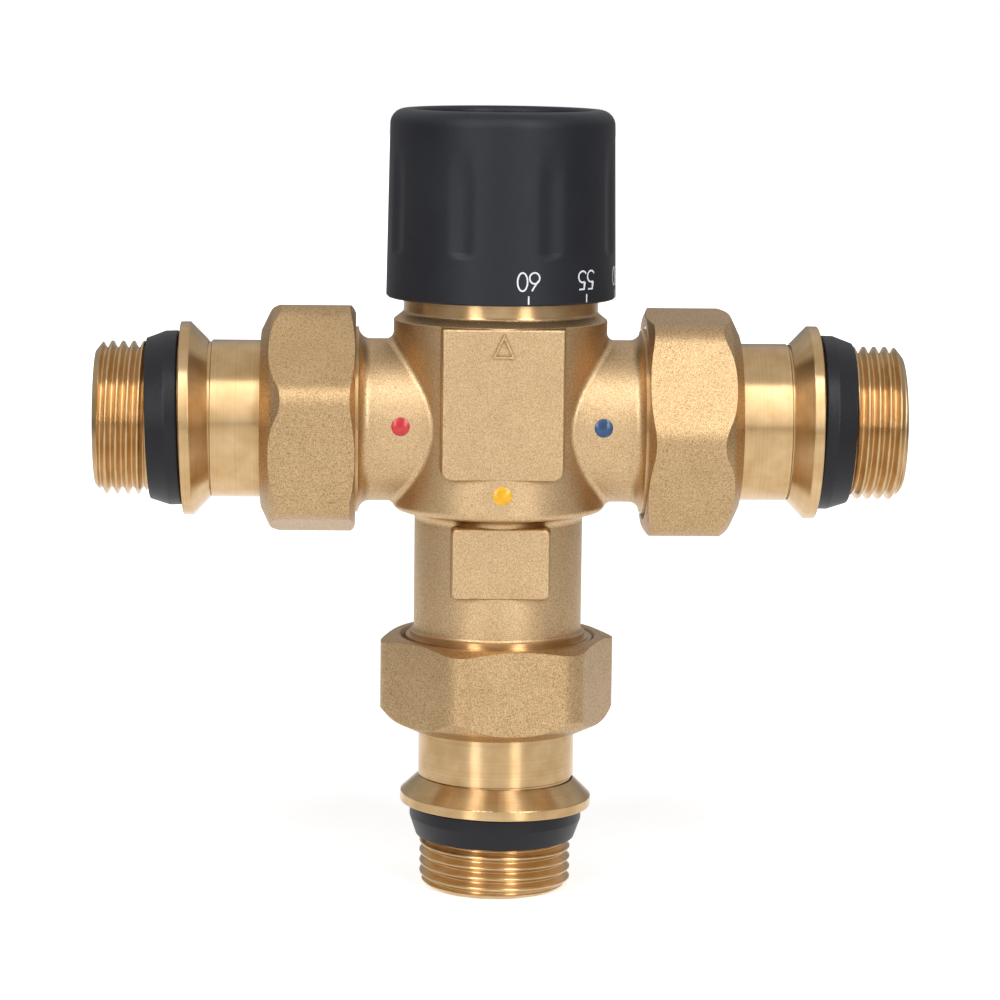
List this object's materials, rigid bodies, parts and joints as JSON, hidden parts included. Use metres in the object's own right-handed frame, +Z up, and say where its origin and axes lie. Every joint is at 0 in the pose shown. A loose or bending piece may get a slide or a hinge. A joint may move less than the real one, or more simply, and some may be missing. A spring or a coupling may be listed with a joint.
{
  "type": "mixing valve",
  "caption": "Brass tempering valve with a side hot inlet, a side cold inlet and a mixed outlet below, a black dial knob on top and union tails with loose backing rings and tapered seals.",
  "frame": {"origin": "centre of the mixed outlet's end face, on the surface that the valve stands on", "axes": "+Z up along the spindle, +X along the cold inlet, -Y toward the dial's index and the coloured marks"},
  "size_m": [0.1388, 0.0408, 0.1355],
  "materials": {
    "blasted_brass": "forged and shot-blasted, matt",
    "turned_brass": "turned, bright",
    "nut_brass": "forged and shot-blasted, matt",
    "black_plastic": "moulded, fine satin",
    "black_rubber": "moulded, satin",
    "red_enamel": "glossy enamel drop",
    "blue_enamel": "glossy enamel drop",
    "yellow_enamel": "glossy enamel drop",
    "spring_steel": "drawn wire",
    "white_plastic": "moulded",
    "grey_plastic": "moulded",
    "gasket_fibre": "pressed fibre ring",
    "zinc_steel": "zinc-plated"
  },
  "bodies": {
    "valve": {"valve_body": "blasted_brass", "bonnet": "turned_brass", "bonnet_o_ring": "black_rubber", "return_spring": "spring_steel", "hot_mark": "red_enamel", "cold_mark": "blue_enamel", "mixed_mark": "yellow_enamel"},
    "dial": {"knob": "black_plastic", "knob_screw": "zinc_steel", "spindle": "turned_brass", "spindle_o_rings": "black_rubber", "spindle_circlip": "spring_steel"},
    "lift": {"lift_carrier": "turned_brass", "carrier_ring": "spring_steel", "spring_cup": "turned_brass", "over_travel_spring": "spring_steel", "element_piston": "zinc_steel"},
    "shutter_group": {"wax_element": "turned_brass", "shutter": "grey_plastic", "shutter_o_ring": "black_rubber"},
    "hot_tail": {"hot_tailpiece": "turned_brass", "hot_union_gasket": "gasket_fibre", "hot_backing_ring": "turned_brass", "hot_tapered_seal": "black_rubber", "hot_check_housing": "white_plastic", "hot_check_retainer": "white_plastic", "hot_check_spring": "spring_steel", "hot_check_o_ring": "black_rubber"},
    "hot_nut": {"hot_union_nut": "nut_brass"},
    "hot_poppet": {"hot_check_poppet": "grey_plastic"},
    "cold_tail": {"cold_tailpiece": "turned_brass", "cold_union_gasket": "gasket_fibre", "cold_backing_ring": "turned_brass", "cold_tapered_seal": "black_rubber", "cold_check_housing": "white_plastic", "cold_check_retainer": "white_plastic", "cold_check_spring": "spring_steel", "cold_check_o_ring": "black_rubber"},
    "cold_nut": {"cold_union_nut": "nut_brass"},
    "cold_poppet": {"cold_check_poppet": "grey_plastic"},
    "mixed_tail": {"mixed_tailpiece": "turned_brass", "mixed_union_gasket": "gasket_fibre", "mixed_backing_ring": "turned_brass", "mixed_tapered_seal": "black_rubber"},
    "mixed_nut": {"mixed_union_nut": "nut_brass"}
  },
  "joints": [
    {"name": "knob_turn", "type": "hinge", "parent": "valve", "child": "dial", "pos_m": [0, 0, 0.12], "axis": [0, 0, 1], "range_deg": [-216, 0]},
    {"name": "lift_travel", "type": "slide", "parent": "valve", "child": "lift", "axis": [0, 0, 1], "range_m": [-0.0015, 0], "deforming": ["return_spring"]},
    {"name": "shutter_travel", "type": "slide", "parent": "lift", "child": "shutter_group", "axis": [0, 0, 1], "range_m": [-0.0014, 0], "stiffness_N_per_m": 300, "springref_m": 0.003, "deforming": ["return_spring"]},
    {"name": "hot_tail_travel", "type": "slide", "parent": "valve", "child": "hot_tail", "axis": [-1, 0, 0], "range_m": [0, 0.00924]},
    {"name": "hot_nut_turn", "type": "hinge", "parent": "hot_tail", "child": "hot_nut", "pos_m": [-0.03285, 0, 0.082], "axis": [-1, 0, 0], "range_deg": [0, 1440]},
    {"name": "hot_check_lift", "type": "slide", "parent": "hot_tail", "child": "hot_poppet", "axis": [1, 0, 0], "range_m": [0, 0.0035], "stiffness_N_per_m": 200, "springref_m": -0.002, "deforming": ["hot_check_spring"]},
    {"name": "cold_tail_travel", "type": "slide", "parent": "valve", "child": "cold_tail", "axis": [1, 0, 0], "range_m": [0, 0.00924]},
    {"name": "cold_nut_turn", "type": "hinge", "parent": "cold_tail", "child": "cold_nut", "pos_m": [0.03285, 0, 0.082], "axis": [1, 0, 0], "range_deg": [0, 1440]},
    {"name": "cold_check_lift", "type": "slide", "parent": "cold_tail", "child": "cold_poppet", "axis": [-1, 0, 0], "range_m": [0, 0.0035], "stiffness_N_per_m": 200, "springref_m": -0.002, "deforming": ["cold_check_spring"]},
    {"name": "mixed_tail_travel", "type": "slide", "parent": "valve", "child": "mixed_tail", "axis": [0, 0, -1], "range_m": [0, 0.00924]},
    {"name": "mixed_nut_turn", "type": "hinge", "parent": "mixed_tail", "child": "mixed_nut", "pos_m": [0, 0, 0.03655], "axis": [0, 0, -1], "range_deg": [0, 1440]}
  ],
  "couplings": [
    {"joint": "knob_turn", "follows": "lift_travel", "rad_per_m": 2513.3},
    {"joint": "hot_nut_turn", "follows": "hot_tail_travel", "rad_per_m": 2721.2},
    {"joint": "cold_nut_turn", "follows": "cold_tail_travel", "rad_per_m": 2721.2},
    {"joint": "mixed_nut_turn", "follows": "mixed_tail_travel", "rad_per_m": 2721.2}
  ]
}
